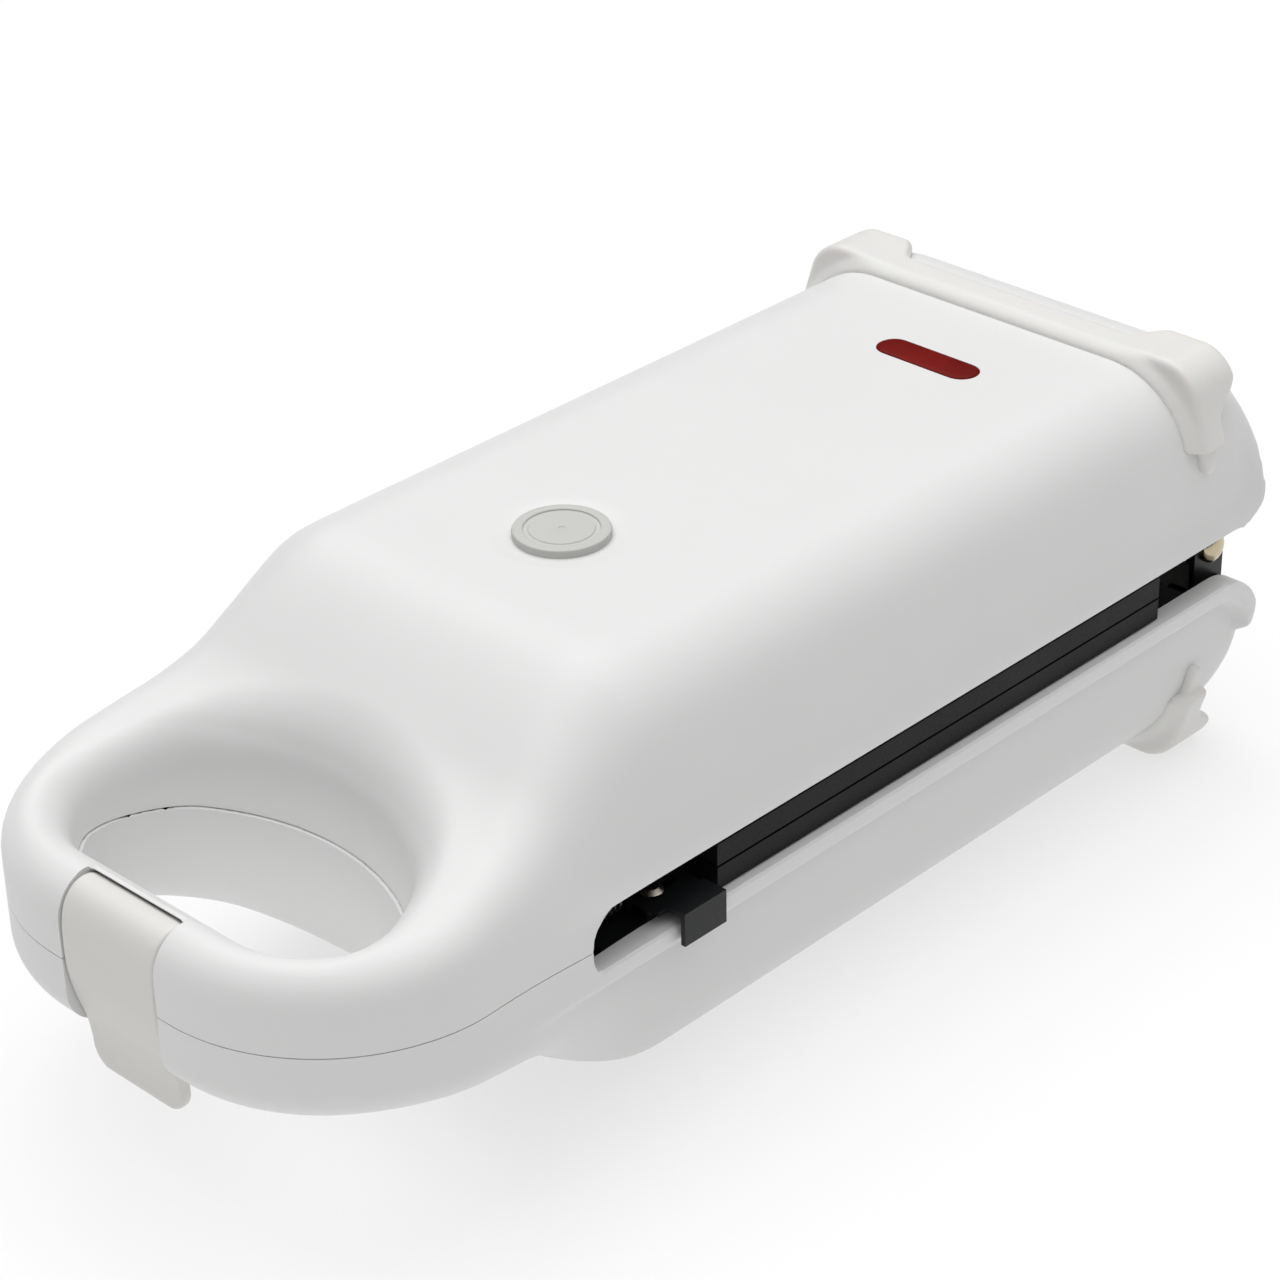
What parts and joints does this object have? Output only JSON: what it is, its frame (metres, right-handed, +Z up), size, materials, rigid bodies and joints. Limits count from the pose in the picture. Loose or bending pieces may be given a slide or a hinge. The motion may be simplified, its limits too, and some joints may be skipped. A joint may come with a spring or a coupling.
{
  "type": "sandwich and waffle maker",
  "caption": "Slim electric sandwich and waffle maker with a loop handle, removable plates, a front clip and a lid that opens just past upright.",
  "frame": {"origin": "on the ground below the middle of the closed appliance's box", "axes": "+Z up, -Y towards the loop handle and the user, +Y towards the hinge, +X to the user's right"},
  "size_m": [0.1356, 0.314, 0.11],
  "materials": {
    "white_plastic": "satin moulded, very fine grain",
    "rail_plastic": "satin, slightly creamier and translucent",
    "clip_plastic": "satin, warm light grey",
    "black_plastic": "matt heat-resistant plastic",
    "grey_rubber": "matt light grey",
    "nonstick_coating": "satin black non-stick coating on cast aluminium",
    "black_steel": "satin black coated sheet steel",
    "pressed_steel": "plain pressed sheet",
    "heater_tube": "oxidised tubular heater sheath",
    "spring_steel": "bright drawn wire",
    "bright_zinc": "bright zinc plate",
    "yellow_zinc": "pale yellow zinc plate",
    "brass_parts": "brass and phenolic",
    "cream_ceramic": "cream heat-resistant moulding",
    "wire_sleeve": "woven glass sleeve",
    "red_lens": "deep red clear plastic",
    "lamp_glass": "small neon lamp"
  },
  "bodies": {
    "base": {"base_shell": "white_plastic", "base_inner_cover": "black_plastic", "base_stand_rail": "rail_plastic", "base_front_foot": "grey_rubber", "base_heat_pan": "pressed_steel", "base_heater": "heater_tube", "base_heater_clamps": "pressed_steel", "thermostat": "brass_parts", "thermal_fuse": "cream_ceramic", "terminal_block": "cream_ceramic", "base_wiring": "wire_sleeve", "lower_plate": "nonstick_coating", "base_latch_guide": "black_steel", "base_latch_rivets": "bright_zinc", "lower_latch_spring": "spring_steel", "base_hinge_ears": "black_steel", "hinge_pins": "yellow_zinc", "cord_gland": "clip_plastic", "base_screws": "bright_zinc"},
    "lid": {"lid_shell": "white_plastic", "lid_inner_cover": "black_plastic", "lid_stand_rail": "rail_plastic", "lid_front_foot": "grey_rubber", "indicator_lens": "red_lens", "lamp_holder": "cream_ceramic", "indicator_lamps": "lamp_glass", "lid_heat_pan": "pressed_steel", "lid_heater": "heater_tube", "lid_heater_clamps": "pressed_steel", "lid_wiring": "wire_sleeve", "upper_plate": "nonstick_coating", "lid_latch_guide": "black_steel", "lid_latch_rivets": "bright_zinc", "upper_latch_spring": "spring_steel", "lid_hinge_ears": "black_steel", "clip_axle": "bright_zinc", "lid_screws": "bright_zinc"},
    "lower_latch": {"lower_plate_latch": "black_steel"},
    "upper_latch": {"upper_plate_latch": "black_steel"},
    "clip": {"front_clip": "clip_plastic"}
  },
  "joints": [
    {"name": "lid_hinge", "type": "hinge", "parent": "base", "child": "lid", "pos_m": [0, 0.147, 0.055], "axis": [-1, 0, 0], "range_deg": [0, 100]},
    {"name": "front_clip_pivot", "type": "hinge", "parent": "lid", "child": "clip", "pos_m": [0, -0.1505, 0.066], "axis": [-1, 0, 0], "range_deg": [0, 35]},
    {"name": "lower_plate_latch_slide", "type": "slide", "parent": "base", "child": "lower_latch", "axis": [0, -1, 0], "range_m": [0, 0.005], "stiffness_N_per_m": 300, "springref_m": -0.004, "deforming": ["lower_latch_spring"]},
    {"name": "upper_plate_latch_slide", "type": "slide", "parent": "lid", "child": "upper_latch", "axis": [0, -1, 0], "range_m": [0, 0.005], "stiffness_N_per_m": 300, "springref_m": -0.004, "deforming": ["upper_latch_spring"]}
  ]
}
